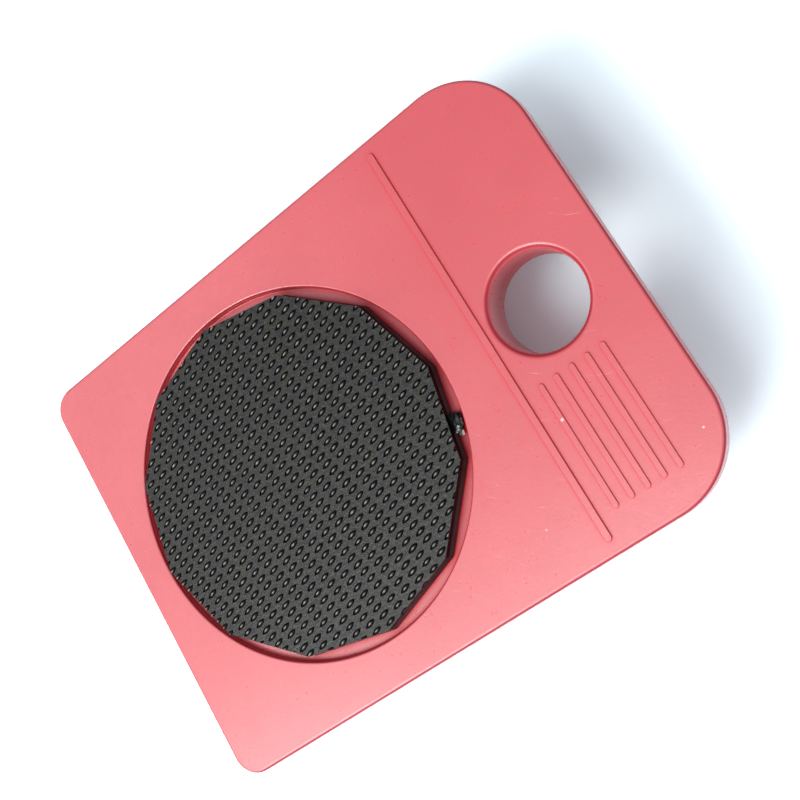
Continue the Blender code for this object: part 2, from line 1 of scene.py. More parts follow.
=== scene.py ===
# Furniture moving roller: what is seen of it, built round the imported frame.
import math
import random

import bmesh
import bpy
from mathutils import Matrix, Vector, noise


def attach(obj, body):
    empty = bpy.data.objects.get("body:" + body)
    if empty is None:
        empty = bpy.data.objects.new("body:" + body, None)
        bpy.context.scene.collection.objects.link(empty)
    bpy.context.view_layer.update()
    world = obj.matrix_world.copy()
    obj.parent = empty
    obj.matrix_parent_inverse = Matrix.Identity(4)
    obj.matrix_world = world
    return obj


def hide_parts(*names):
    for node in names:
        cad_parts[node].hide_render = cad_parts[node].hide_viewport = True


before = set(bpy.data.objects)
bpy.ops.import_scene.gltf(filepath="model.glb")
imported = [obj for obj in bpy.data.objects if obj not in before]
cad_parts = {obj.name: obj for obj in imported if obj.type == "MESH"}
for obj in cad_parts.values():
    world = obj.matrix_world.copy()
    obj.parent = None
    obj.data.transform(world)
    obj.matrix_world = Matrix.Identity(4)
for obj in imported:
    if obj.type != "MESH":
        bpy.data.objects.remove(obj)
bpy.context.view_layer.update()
scene = bpy.context.scene
mm = 0.001
past = 2 * mm  # how far a cutter reaches past what it cuts
for leftover in ("Cube", "Light", "Camera"):
    if leftover in bpy.data.objects:
        bpy.data.objects.remove(bpy.data.objects[leftover])
print("frame loaded:", len(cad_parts), "nodes")

# Camera where the photograph was taken: steep, from the right of the grip end, turned on its side
shot = dict(
    place=(0.07417, -0.04306, 0.19263),
    right=(0.75867, -0.49798, -0.42004),
    up=(0.54916, 0.83572, 0.00111),
    lens=52.954,
)


def addCamera():
    data = bpy.data.cameras.new("shot")
    data.sensor_width = 36
    data.lens = shot["lens"]
    data.clip_start = 0.01
    camera = bpy.data.objects.new("shot", data)
    scene.collection.objects.link(camera)
    right, up = Vector(shot["right"]), Vector(shot["up"])
    axes = Matrix((right, up, right.cross(up))).transposed()
    camera.matrix_world = Matrix.Translation(shot["place"]) @ axes.to_4x4()
    scene.camera = camera


addCamera()
print("camera placed")


# Small helpers for shader nodes
def newMaterial(name, color, roughness, metallic=0.0):
    material = bpy.data.materials.new(name)
    material.use_nodes = True
    shader = material.node_tree.nodes["Principled BSDF"]
    shader.inputs["Base Color"].default_value = (*color, 1)
    shader.inputs["Roughness"].default_value = roughness
    shader.inputs["Metallic"].default_value = metallic
    return material, material.node_tree, shader


def put(tree, socket, value):
    if isinstance(value, bpy.types.NodeSocket):
        tree.links.new(value, socket)
    elif hasattr(socket.default_value, "__len__") and not hasattr(value, "__len__"):
        socket.default_value = [value] * len(socket.default_value)
    else:
        socket.default_value = value


def math2(tree, how, first, second=0.0, clamp=False):
    node = tree.nodes.new("ShaderNodeMath")
    node.operation = how
    node.use_clamp = clamp
    put(tree, node.inputs[0], first)
    put(tree, node.inputs[1], second)
    return node.outputs[0]


def rescale(tree, value, fromLow, fromHigh, toLow=0.0, toHigh=1.0):
    node = tree.nodes.new("ShaderNodeMapRange")
    for socket, number in zip(node.inputs, (value, fromLow, fromHigh, toLow, toHigh)):
        put(tree, socket, number)
    return node.outputs[0]


def mixColor(tree, share, first, second):
    node = tree.nodes.new("ShaderNodeMix")
    node.data_type = "RGBA"
    put(tree, node.inputs["Factor"], share)
    put(tree, node.inputs[6], first)
    put(tree, node.inputs[7], second)
    return node.outputs[2]


def coords(tree, stretch=(1, 1, 1), shift=(0, 0, 0)):
    source = tree.nodes.new("ShaderNodeTexCoord")
    mapping = tree.nodes.new("ShaderNodeMapping")
    mapping.inputs["Scale"].default_value = stretch
    mapping.inputs["Location"].default_value = shift
    tree.links.new(source.outputs["Object"], mapping.inputs["Vector"])
    return mapping.outputs[0]


def grain(tree, where, scale, detail=3.0, rough=0.55):
    node = tree.nodes.new("ShaderNodeTexNoise")
    put(tree, node.inputs["Vector"], where)
    put(tree, node.inputs["Scale"], scale)
    put(tree, node.inputs["Detail"], detail)
    put(tree, node.inputs["Roughness"], rough)
    return node.outputs[0]


def specks(tree, where, cell, size, share):
    # Round specks, at most one in each cell; cell and size in metres, share of cells that hold one.
    node = tree.nodes.new("ShaderNodeTexVoronoi")
    put(tree, node.inputs["Vector"], where)
    put(tree, node.inputs["Scale"], 1 / cell)
    split = tree.nodes.new("ShaderNodeSeparateColor")
    tree.links.new(node.outputs["Color"], split.inputs[0])
    chosen = math2(tree, "LESS_THAN", split.outputs[0], share)
    reach = math2(tree, "MULTIPLY", split.outputs[1], size / cell)
    edge = math2(tree, "SUBTRACT", reach, node.outputs["Distance"])
    soft = math2(tree, "MULTIPLY", edge, 4 * cell / size, clamp=True)
    return math2(tree, "MULTIPLY", soft, chosen)


def bump(tree, shader, height, depth, strength=1.0):
    node = tree.nodes.new("ShaderNodeBump")
    put(tree, node.inputs["Height"], height)
    put(tree, node.inputs["Distance"], depth)
    put(tree, node.inputs["Strength"], strength)
    tree.links.new(node.outputs[0], shader.inputs["Normal"])


# Red moulded plastic: faint flow mottling, a fine grain, pale dust, a few dark specks and hairline arcs, with painted
# shade low down, along each deck edge and in tight corners
redFinish = dict(
    deep=(0.735, 0.101, 0.121, 1), pale=(0.776, 0.117, 0.137, 1), flowScale=45, fineScale=900, fineShare=0.10,
    dust=(0.95, 0.72, 0.70, 1), dustSpecks=(0.0056, 0.00036, 0.45), dustShare=0.75,
    soot=(0.22, 0.05, 0.06, 1), sootSpecks=(0.011, 0.00036, 0.28), sootShare=0.70,
    under=(0.42, 0.030, 0.042, 1), underShadeZ=(0.0222, 0.0190), underShadeShare=0.75, underShadeShine=0.45,
    line=(0.36, 0.016, 0.032, 1), lineTop=(0.02387, 0.02376), lineLow=(0.0234, 0.0236), lineShare=0.75, lineShine=0.2,
    creaseShade=(0.72, 0.034, 0.048, 1), creaseReach=0.0010, creaseSpan=(0.45, 0.95), creaseShine=0.1,
    roughLow=0.27, roughHigh=0.35, shine=1.0, bend=1.56, relief=0.00003,
    scratchCentre=(0.055, 0.020), scratchPitch=0.0011, scratchWidth=0.00004, scratchShare=0.16,
)


def makeRed():
    material, tree, shader = newMaterial("redPlastic", redFinish["deep"][:3], 0.32)
    shader.inputs["IOR"].default_value = redFinish["bend"]
    where = coords(tree)
    flow = rescale(tree, grain(tree, where, redFinish["flowScale"]), 0.35, 0.65)
    fine = grain(tree, where, redFinish["fineScale"], 4)
    color = mixColor(tree, flow, redFinish["deep"], redFinish["pale"])
    color = mixColor(tree, rescale(tree, fine, 0.3, 0.7, 0.0, redFinish["fineShare"]), color, redFinish["soot"])
    # hairline arcs about a point off the grip end, broken up by noise
    apart = tree.nodes.new("ShaderNodeVectorMath")
    apart.operation = "DISTANCE"
    put(tree, apart.inputs[0], coords(tree, (1, 1, 0)))
    put(tree, apart.inputs[1], (*redFinish["scratchCentre"], 0))
    wobble = math2(tree, "MULTIPLY", grain(tree, where, 160), redFinish["scratchPitch"] * 2)
    ring = math2(tree, "ADD", apart.outputs["Value"], wobble)
    ring = math2(tree, "PINGPONG", ring, redFinish["scratchPitch"])
    hair = rescale(tree, ring, redFinish["scratchWidth"], 0.0)
    patch = rescale(tree, grain(tree, coords(tree, shift=(3, 1, 2)), 220, 2), 0.60, 0.70)
    scratch = math2(tree, "MULTIPLY", hair, patch)
    color = mixColor(tree, math2(tree, "MULTIPLY", scratch, redFinish["scratchShare"]), color, redFinish["dust"])
    dust = specks(tree, where, *redFinish["dustSpecks"])
    color = mixColor(tree, math2(tree, "MULTIPLY", dust, redFinish["dustShare"]), color, redFinish["dust"])
    soot = specks(tree, coords(tree, shift=(0.2, 0.4, 0.1)), *redFinish["sootSpecks"])
    color = mixColor(tree, math2(tree, "MULTIPLY", soot, redFinish["sootShare"]), color, redFinish["soot"])
    height = tree.nodes.new("ShaderNodeSeparateXYZ")
    tree.links.new(where, height.inputs[0])
    # painted shade: low down (in the finger hole, under the deck and on the carrier) the red darkens towards the
    # under colour, and its shine is dulled there too
    below = rescale(tree, height.outputs["Z"], *redFinish["underShadeZ"], 0.0, redFinish["underShadeShare"])
    color = mixColor(tree, below, color, redFinish["under"])
    # painted shade: a thin deeper band runs round each edge of the deck, on its rounding, and the shine there is cut
    top, low = (rescale(tree, height.outputs["Z"], *redFinish[key]) for key in ("lineTop", "lineLow"))
    line = math2(tree, "MULTIPLY", top, low)
    color = mixColor(tree, math2(tree, "MULTIPLY", line, redFinish["lineShare"]), color, redFinish["line"])
    # painted shade: in tight corners, found by ambient occlusion, the colour deepens to a saturated red and the shine
    # fades
    creaseShade = tree.nodes.new("ShaderNodeAmbientOcclusion")
    creaseShade.samples = 6
    creaseShade.inputs["Distance"].default_value = redFinish["creaseReach"]
    bare = rescale(tree, creaseShade.outputs["AO"], *redFinish["creaseSpan"])
    put(tree, shader.inputs["Base Color"], mixColor(tree, bare, redFinish["creaseShade"], color))
    # the shine is cut where shade is painted: in corners, along each deck edge and low down
    shine = rescale(tree, bare, 0.0, 1.0, redFinish["creaseShine"], redFinish["shine"])
    shine = math2(tree, "MULTIPLY", shine, rescale(tree, line, 0.0, 1.0, 1.0, redFinish["lineShine"]))
    shadeDulled = rescale(tree, below, 0.0, redFinish["underShadeShare"], 1.0, redFinish["underShadeShine"])
    shine = math2(tree, "MULTIPLY", shine, shadeDulled)
    put(tree, shader.inputs["Specular IOR Level"], shine)
    rough = rescale(tree, fine, 0.3, 0.7, redFinish["roughLow"], redFinish["roughHigh"])
    put(tree, shader.inputs["Roughness"], rough)
    relief = math2(tree, "ADD", grain(tree, where, 3200, 2), math2(tree, "MULTIPLY", grain(tree, where, 260), 0.8))
    bump(tree, shader, math2(tree, "SUBTRACT", relief, scratch), redFinish["relief"], 0.5)
    return material


# Black moulded plastic of the disc
blackFinish = dict(
    dark=(0.012, 0.012, 0.013, 1), wearAndGlint=(0.045, 0.045, 0.047, 1), dust=(0.30, 0.30, 0.29, 1),
    dustSpecks=(0.0030, 0.00022, 0.25), roughLow=0.32, roughHigh=0.50,
)


def makeBlack():
    material, tree, shader = newMaterial("blackPlastic", blackFinish["dark"][:3], 0.4)
    where = coords(tree)
    wear = rescale(tree, grain(tree, where, 220, 4), 0.35, 0.75)
    color = mixColor(tree, wear, blackFinish["dark"], blackFinish["wearAndGlint"])
    dust = specks(tree, where, *blackFinish["dustSpecks"])
    color = mixColor(tree, math2(tree, "MULTIPLY", dust, 0.5), color, blackFinish["dust"])
    put(tree, shader.inputs["Base Color"], color)
    rough = rescale(tree, grain(tree, where, 700), 0.3, 0.7, blackFinish["roughLow"], blackFinish["roughHigh"])
    put(tree, shader.inputs["Roughness"], rough)
    bump(tree, shader, grain(tree, where, 2600, 3), 0.00003, 0.6)
    return material


# Torn black plastic of the gate nub, pale at the end where it was pulled apart
tornFinish = dict(
    dark=(0.008, 0.008, 0.009, 1), pale=(0.62, 0.62, 0.56, 1), paleFrom=-0.0084, paleTo=-0.0098, paleMore=0.19,
)


def makeTorn():
    material, tree, shader = newMaterial("tornPlastic", tornFinish["dark"][:3], 0.5)
    where = coords(tree)
    along = tree.nodes.new("ShaderNodeSeparateXYZ")
    tree.links.new(where, along.inputs[0])
    end = rescale(tree, along.outputs["Y"], tornFinish["paleFrom"], tornFinish["paleTo"], 0.0, tornFinish["paleMore"])
    streaks = math2(tree, "ADD", grain(tree, where, 1300, 4, 0.6), end)
    streaks = rescale(tree, streaks, 0.66, 0.72)
    put(tree, shader.inputs["Base Color"], mixColor(tree, streaks, tornFinish["dark"], tornFinish["pale"]))
    put(tree, shader.inputs["Roughness"], rescale(tree, grain(tree, where, 900), 0.3, 0.7, 0.35, 0.6))
    bump(tree, shader, grain(tree, where, 2600, 4), 0.00006, 0.8)
    return material


# Embossed rubber: grey with olive and slate patches, with painted shade down in the grooves and a painted glint on
# the leaf crests
rubberFinish = dict(
    olive=(0.030, 0.0285, 0.018, 1), slate=(0.016, 0.0155, 0.021, 1), deep=(0.0012, 0.0012, 0.0014, 1),
    wearAndGlint=(0.25, 0.245, 0.228, 1), dust=(0.20, 0.20, 0.18, 1), dustSpecks=(0.0042, 0.00024, 0.20),
    patchScale=900, shadeScale=2400, shadeMost=0.60, filmScale=1700, filmMost=0.22, relief=0.0001,
    grooveShadeZ=(0.02542, 0.02532), glintZ=(0.02561, 0.02571), roughField=(0.28, 0.40), roughGlint=0.26,
    shine=0.44, grooveShadeShine=0.06,
)


def makeRubber():
    material, tree, shader = newMaterial("padRubber", rubberFinish["slate"][:3], 0.5)
    where = coords(tree)
    patches = rescale(tree, grain(tree, where, rubberFinish["patchScale"], 4, 0.6), 0.42, 0.58)
    color = mixColor(tree, patches, rubberFinish["olive"], rubberFinish["slate"])
    pores = grain(tree, coords(tree, shift=(1, 3, 2)), rubberFinish["shadeScale"], 3, 0.65)
    pores = rescale(tree, pores, 0.38, 0.66, 0.0, rubberFinish["shadeMost"])
    color = mixColor(tree, pores, color, rubberFinish["deep"])
    film = grain(tree, coords(tree, shift=(2, 5, 1)), rubberFinish["filmScale"], 4, 0.7)
    film = rescale(tree, film, 0.50, 0.80, 0.0, rubberFinish["filmMost"])
    color = mixColor(tree, film, color, rubberFinish["dust"])
    dust = specks(tree, where, *rubberFinish["dustSpecks"])
    color = mixColor(tree, math2(tree, "MULTIPLY", dust, 0.5), color, rubberFinish["dust"])
    height = tree.nodes.new("ShaderNodeSeparateXYZ")
    tree.links.new(where, height.inputs[0])
    # painted shade: down in the grooves the rubber goes near black and loses its shine
    groove = rescale(tree, height.outputs["Z"], *rubberFinish["grooveShadeZ"])
    # painted highlight: the leaf crests are paler, as a glint, and smoother
    wearAndGlint = rescale(tree, height.outputs["Z"], *rubberFinish["glintZ"])
    color = mixColor(tree, wearAndGlint, color, rubberFinish["wearAndGlint"])
    put(tree, shader.inputs["Base Color"], mixColor(tree, groove, color, rubberFinish["deep"]))
    shine = rescale(tree, groove, 0.0, 1.0, rubberFinish["shine"], rubberFinish["grooveShadeShine"])
    put(tree, shader.inputs["Specular IOR Level"], shine)
    rough = rescale(tree, grain(tree, where, 800, 4), 0.3, 0.7, *rubberFinish["roughField"])
    smooth = math2(tree, "MULTIPLY", wearAndGlint, 0.5 - rubberFinish["roughGlint"])
    put(tree, shader.inputs["Roughness"], math2(tree, "SUBTRACT", rough, smooth))
    bump(tree, shader, grain(tree, where, 1800, 5, 0.65), rubberFinish["relief"], 0.9)
    return material


# Black nylon of the wheels, scuffed round the tread
nylonFinish = dict(dark=(0.022, 0.022, 0.024, 1), scuff=(0.10, 0.10, 0.10, 1), scuffShare=0.6)


def makeNylon():
    material, tree, shader = newMaterial("wheelNylon", nylonFinish["dark"][:3], 0.42)
    where = coords(tree)
    bands = grain(tree, coords(tree, (1, 30, 1)), 60, 4, 0.6)
    patches = rescale(tree, grain(tree, where, 500, 3), 0.35, 0.7)
    scuff = math2(tree, "MULTIPLY", rescale(tree, bands, 0.48, 0.75), patches)
    scuff = math2(tree, "MULTIPLY", scuff, nylonFinish["scuffShare"])
    color = mixColor(tree, scuff, nylonFinish["dark"], nylonFinish["scuff"])
    put(tree, shader.inputs["Base Color"], color)
    put(tree, shader.inputs["Roughness"], rescale(tree, bands, 0.3, 0.7, 0.34, 0.52))
    bump(tree, shader, grain(tree, where, 2400, 3), 0.00003, 0.5)
    return material


# Zinc-plated steel: cloudy passivation and drawn lines
steelFinish = dict(bright=(0.62, 0.63, 0.65, 1), cloudy=(0.50, 0.49, 0.46, 1))


def makeSteel():
    material, tree, shader = newMaterial("zincSteel", steelFinish["bright"][:3], 0.3, 1.0)
    where = coords(tree)
    cloud = rescale(tree, grain(tree, where, 260, 5, 0.6), 0.35, 0.7)
    put(tree, shader.inputs["Base Color"], mixColor(tree, cloud, steelFinish["bright"], steelFinish["cloudy"]))
    lines = grain(tree, coords(tree, (1, 1, 24)), 700, 3)
    put(tree, shader.inputs["Roughness"], rescale(tree, lines, 0.3, 0.7, 0.24, 0.42))
    bump(tree, shader, lines, 0.00002, 0.4)
    return material


redPlastic, blackPlastic, tornPlastic = makeRed(), makeBlack(), makeTorn()
padRubber, wheelNylon, zincSteel = makeRubber(), makeNylon(), makeSteel()
print("finishes made")


# Helpers that make meshes
roundSteps = (0, 0.52, 1.05, math.pi / 2)  # angles at which a rounded edge is drawn


def arcPoints(cx, cy, radius, start, end, steps):
    turn = [math.radians(start + (end - start) * k / steps) for k in range(steps + 1)]
    return [(cx + radius * math.cos(a), cy + radius * math.sin(a)) for a in turn]


def roundedOutline(xLow, xHigh, halfWidth, lowRadius, highRadius, steps=20):
    points = arcPoints(xHigh - highRadius, halfWidth - highRadius, highRadius, 0, 90, steps)
    points += arcPoints(xLow + lowRadius, halfWidth - lowRadius, lowRadius, 90, 180, steps)
    points += arcPoints(xLow + lowRadius, lowRadius - halfWidth, lowRadius, 180, 270, steps)
    return points + arcPoints(xHigh - highRadius, highRadius - halfWidth, highRadius, 270, 360, steps)


def skin(bm, loops, capFirst=True, capLast=True):
    rings = [[bm.verts.new(point) for point in loop] for loop in loops]
    count = len(rings[0])
    for low, high in zip(rings, rings[1:]):
        for k in range(count):
            bm.faces.new((low[k], low[(k + 1) % count], high[(k + 1) % count], high[k]))
    if capFirst:
        bm.faces.new(rings[0][::-1])
    if capLast:
        bm.faces.new(rings[-1])
    return rings


def atHeight(outline, z):
    return [(x, y, z) for x, y in outline]


def toObject(name, bm):
    bmesh.ops.recalc_face_normals(bm, faces=bm.faces)
    mesh = bpy.data.meshes.new(name)
    bm.to_mesh(mesh)
    bm.free()
    obj = bpy.data.objects.new(name, mesh)
    scene.collection.objects.link(obj)
    return obj


def prism(name, outline, low, high):
    bm = bmesh.new()
    skin(bm, [atHeight(outline, low), atHeight(outline, high)])
    return toObject(name, bm)


def cylinder(name, x, y, radius, low, high, steps):
    return prism(name, arcPoints(x, y, radius, 0, 360 * (1 - 1 / steps), steps - 1), low, high)


def block(name, spanX, spanY, spanZ):
    (x0, x1), y, z = spanX, sorted(spanY), spanZ
    return prism(name, [(x0, y[0]), (x1, y[0]), (x1, y[1]), (x0, y[1])], *z)


def turned(name, profile, steps, closed=False):
    bm = bmesh.new()
    points = [bm.verts.new((radius, 0, height)) for radius, height in profile]
    edges = [bm.edges.new(pair) for pair in zip(points, points[1:])]
    if closed:
        edges.append(bm.edges.new((points[-1], points[0])))
    bmesh.ops.spin(bm, geom=points + edges, cent=(0, 0, 0), axis=(0, 0, 1), angle=2 * math.pi, steps=steps)
    bmesh.ops.remove_doubles(bm, verts=bm.verts, dist=2e-6)
    return toObject(name, bm)


def bakeModifiers(obj):
    graph = bpy.context.evaluated_depsgraph_get()
    mesh = bpy.data.meshes.new_from_object(obj.evaluated_get(graph))
    obj.modifiers.clear()
    obj.data = mesh


def combine(obj, how, *others):
    for other in others:
        step = obj.modifiers.new("combine", "BOOLEAN")
        step.operation = how
        step.solver = "EXACT"
        step.object = other
        bakeModifiers(obj)
        bpy.data.objects.remove(other)


def move(obj, x=0.0, y=0.0, z=0.0):
    obj.data.transform(Matrix.Translation((x, y, z)))
    return obj


def weld(obj):
    # Joins points that a cut left on top of each other.
    bm = bmesh.new()
    bm.from_mesh(obj.data)
    bmesh.ops.remove_doubles(bm, verts=bm.verts, dist=2e-7)
    bmesh.ops.dissolve_degenerate(bm, edges=bm.edges, dist=2e-7)
    bm.to_mesh(obj.data)
    bm.free()


def shade(obj, angle=35):
    weld(obj)
    obj.data.shade_smooth()
    obj.data.set_sharp_from_angle(angle=math.radians(angle))
    even = obj.modifiers.new("evenNormals", "WEIGHTED_NORMAL")
    even.keep_sharp = True


def dress(obj, material, body, slot, *nodes):
    obj.data.materials.clear()
    obj.data.materials.append(material)
    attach(obj, body)
    if nodes:
        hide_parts(*nodes)
    return obj


# Heights and places that several pieces share
deckZ, skirtZ, cupZ, floorZ = 0.0239, 0.0164, 0.0200, 0.0225
turnX, holeX, ridgeX = -0.01327, 0.03615, 0.0260
axleX = dict(front=0.0102, rear=-0.03485)
axleZ, wheelY = 0.0085, 0.0263
hands = dict(left=1, right=-1)
screwPlaces = dict(
    front_left=(0.0129, 0.0080), front_right=(0.0129, -0.0080),
    middle_left=(-0.012325, wheelY), middle_right=(-0.012325, -wheelY),
    rear_left=(-0.03755, 0.0080), rear_right=(-0.03755, -0.0080),
)

# Top plate
plate = dict(
    length=0.1000, width=0.0763, rearCorner=0.0043, gripCorner=0.0132, gripReach=0.00025, edge=0.0006, lowEdge=0.0003,
    rimDepth=0.0033, overhang=0.0007, skirtWall=0.0020, deckThick=0.0024,
    recessRadius=0.0308, recessRim=0.0004, recessFoot=0.0003, recessWall=0.0020, hubBore=0.0069,
    holeRadius=0.0079, holeRim=0.0010, holeWall=0.0020, ridgeWidth=0.0011, ridgeHeight=0.0003, ridgeEndGap=0.00235,
    ribThick=0.0015, ribPitch=0.0092, ribSetback=0.0005, gripWallX=0.0241, boss=0.00355, pilot=0.00175, pilotZ=0.0210,
    barX=(0.0296, 0.0324, 0.0352, 0.0380, 0.0408), barY=(-0.0112, -0.0318),
    barWidth=0.0009, barHeight=0.00022, barSoft=0.00008, barRoot=0.0004,
    bossZ=0.0089, keeperZ=0.0108, keeperWidth=0.0040, keeperOuter=(0.0323, 0.0345), keeperInner=(0.0181, 0.0203),
)


def plateOutline(inset):
    rear, grip = (max(plate[key] - inset, 0.0005) for key in ("rearCorner", "gripCorner"))
    half = plate["length"] / 2 - inset
    return roundedOutline(-half, half + plate["gripReach"], plate["width"] / 2 - inset, rear, grip, 24)


def flared(radius, rim, low):
    lip = arcPoints(radius + rim, deckZ - rim, rim, 90, 180, 7)
    return [(0, deckZ + past), (radius + rim, deckZ + past), *lip, (radius, low)]


def raised(name, points, radius, height):
    # A flat-topped bar on the deck, along a straight line between two points.
    (x0, y0), (x1, y1) = points
    along = math.degrees(math.atan2(y1 - y0, x1 - x0))
    soft = plate["barSoft"]
    loops = [(0.0, -plate["barRoot"])]
    loops += [(soft * (1 - math.cos(a)), height - soft + soft * math.sin(a)) for a in roundSteps]
    bm = bmesh.new()
    rings = []
    for inset, z in loops:
        ring = arcPoints(x1, y1, radius - inset, along - 90, along + 90, 10)
        ring += arcPoints(x0, y0, radius - inset, along + 90, along + 270, 10)
        rings.append(atHeight(ring, deckZ + z))
    skin(bm, rings)
    return toObject(name, bm)


def roundedSlab(name, inset, low, high, lowEdge, highEdge):
    # The plate's outline, set in by inset, between two heights, with rounded edges below and above.
    loops = []
    for a in roundSteps:
        outline = plateOutline(inset + lowEdge * (1 - math.sin(a)))
        loops.append(atHeight(outline, low + lowEdge * (1 - math.cos(a))))
    for k in range(9):
        a = math.pi / 2 * k / 8
        outline = plateOutline(inset + highEdge * (1 - math.cos(a)))
        loops.append(atHeight(outline, high - highEdge * (1 - math.sin(a))))
    bm = bmesh.new()
    skin(bm, loops)
    return toObject(name, bm)


def makePlate():
    edge, low = plate["edge"], plate["lowEdge"]
    middle = deckZ - plate["deckThick"] / 2
    shell = roundedSlab("plateShell", 0.0, deckZ - plate["rimDepth"], deckZ, low, edge)
    combine(shell, "UNION", roundedSlab("skirt", plate["overhang"], skirtZ, middle, low, low))
    wall, under = plate["skirtWall"], deckZ - plate["deckThick"]
    combine(shell, "DIFFERENCE", prism("hollow", plateOutline(wall), skirtZ - past, under))
    core = cylinder("cup", turnX, 0, plate["recessRadius"] + plate["recessWall"], cupZ, middle, 120)
    half, reach = plate["ribThick"] / 2, plate["width"] / 2
    ribZ = (skirtZ + plate["ribSetback"], middle)
    parts = [cylinder("holeTube", holeX, 0, plate["holeRadius"] + plate["holeWall"], skirtZ, middle, 96)]
    parts.append(block("gripWall", (plate["gripWallX"] - half, plate["gripWallX"] + half), (-reach, reach), ribZ))
    for k in range(-3, 4):
        y = k * plate["ribPitch"]
        parts.append(block("rib", (plate["gripWallX"], plate["length"] / 2), (y - half, y + half), ribZ))
    for x, y in screwPlaces.values():
        parts.append(cylinder("boss", x, y, plate["boss"], plate["bossZ"], middle, 32))
    keep = plate["keeperWidth"] / 2
    for x in axleX.values():
        for side in hands.values():
            for span in (plate["keeperOuter"], plate["keeperInner"]):
                spanY = [side * y for y in span]
                parts.append(block("keeper", (x - keep, x + keep), spanY, (plate["keeperZ"], middle)))
    combine(core, "UNION", *parts)
    combine(core, "INTERSECT", prism("inside", plateOutline(wall / 2), 0, deckZ))
    combine(shell, "UNION", core)
    ends = plate["width"] / 2 - plate["ridgeEndGap"] - plate["ridgeWidth"] / 2
    ridge = raised("ridge", ((ridgeX, -ends), (ridgeX, ends)), plate["ridgeWidth"] / 2, plate["ridgeHeight"])
    combine(shell, "UNION", ridge)
    for x in plate["barX"]:
        ends = [(x, y) for y in plate["barY"]]
        combine(shell, "UNION", raised("thumbBar", ends, plate["barWidth"] / 2, plate["barHeight"]))
    below = cupZ - past
    foot = plate["recessFoot"]
    corner = arcPoints(plate["recessRadius"] - foot, floorZ + foot, foot, 0, -90, 4)
    profile = flared(plate["recessRadius"], plate["recessRim"], floorZ + foot) + corner[1:]
    profile += [(plate["hubBore"], floorZ), (plate["hubBore"], below), (0, below)]
    combine(shell, "DIFFERENCE", move(turned("recess", profile, 180), turnX))
    below = skirtZ - past
    profile = flared(plate["holeRadius"], plate["holeRim"], below) + [(0, below)]
    combine(shell, "DIFFERENCE", move(turned("fingerHole", profile, 120), holeX))
    for x, y in screwPlaces.values():
        pilot = cylinder("pilot", x, y, plate["pilot"], plate["bossZ"] - past, plate["pilotZ"], 32)
        combine(shell, "DIFFERENCE", pilot)
    shade(shell)
    dress(shell, redPlastic, "plate", "red_plastic", "top_plate")


makePlate()
print("top plate made")

# Turning disc with its hub, and the torn nub that its moulding gate left on one side
disc = dict(
    sides=12, radius=0.02965, turn=2.6, low=0.0226, high=0.0240, foot=0.00025, edge=0.0002,
    hub=0.0065, bore=0.0023, boreTop=0.0230,
)


def polygon(inset=0.0):
    step = 360 / disc["sides"]
    reach = disc["radius"] - inset / math.cos(math.radians(step / 2))
    turn = [math.radians(disc["turn"] + step * k) for k in range(disc["sides"])]
    return [(turnX + reach * math.cos(a), reach * math.sin(a)) for a in turn]


def makeDisc():
    low, high, edge, foot = (disc[key] for key in ("low", "high", "edge", "foot"))
    steps = (0, 0.8, math.pi / 2)
    loops = [atHeight(polygon(edge * (1 - math.sin(a)) - foot), low + edge * (1 - math.cos(a))) for a in steps]
    loops += [atHeight(polygon(edge * (1 - math.cos(a))), high - edge * (1 - math.sin(a))) for a in steps]
    bm = bmesh.new()
    skin(bm, loops)
    body = toObject("turningDisc", bm)
    combine(body, "UNION", cylinder("hub", turnX, 0, disc["hub"], cupZ, (low + high) / 2, 64))
    combine(body, "DIFFERENCE", cylinder("bore", turnX, 0, disc["bore"], cupZ - past, disc["boreTop"], 48))
    shade(body, 30)
    dress(body, blackPlastic, "turntable", "black_plastic", "turntable_disc")


# where the nub sits on the disc's side, its half sizes along the radius, along the side and upright,
# how torn it is, and how far out it may reach
nub = dict(
    turn=-16.2, reach=0.0294, place=0.0234, half=(0.00125, 0.0022, 0.00075),
    torn=0.50, shrink=0.35, pitch=1.7, finer=2.7, finerShare=0.5, most=0.0305,
)


def makeNub():
    bm = bmesh.new()
    bmesh.ops.create_icosphere(bm, subdivisions=4, radius=1)
    for vert in bm.verts:
        at = vert.co * nub["pitch"]
        rough = noise.noise(at + Vector((4, 1, 7))) + nub["finerShare"] * noise.noise(at * nub["finer"])
        vert.co *= 1 - nub["shrink"] * nub["torn"] + nub["torn"] * rough
        vert.co = Vector([part * half for part, half in zip(vert.co, nub["half"])])
        vert.co.x = min(vert.co.x, nub["most"] - nub["reach"])
    turn = Matrix.Rotation(math.radians(nub["turn"]), 4, "Z")
    bm.transform(Matrix.Translation((turnX, 0, nub["place"])) @ turn @ Matrix.Translation((nub["reach"], 0, 0)))
    lump = toObject("gateNub", bm)
    lump.data.shade_smooth()
    lump.data.set_sharp_from_angle(angle=math.radians(40))
    dress(lump, tornPlastic, "turntable", "black_plastic")


makeDisc()
makeNub()
print("disc made")

# Rubber pad: a die-cut sheet, embossed with leaning leaves in a skewed grid, each in its own groove
pad = dict(
    low=0.0241, field=0.02548, across=(0.002948, 0.000080), upward=(-0.000435, 0.001464), start=(-0.01064, 0.00095),
    leafLong=0.00228, leafWide=0.00092, point=1.7, lean=17, groove=0.00020, rise=0.00022, uneven=0.10, seed=5,
)
# how far out, as a share of the leaf, and how high, as shares of the groove's depth (below) and the rise (above)
leafRings = ((1.10, 0.0), (1.01, 0.0), (0.92, -1.0), (0.65, -1.0), (0.55, 0.0), (0.41, 0.60), (0.21, 0.95))


def leafPoint(angle, share):
    x = pad["leafLong"] / 2 * math.cos(angle) * share
    y = pad["leafWide"] / 2 * math.copysign(abs(math.sin(angle)) ** pad["point"], math.sin(angle)) * share
    lean = math.radians(pad["lean"])
    return x * math.cos(lean) - y * math.sin(lean), x * math.sin(lean) + y * math.cos(lean)


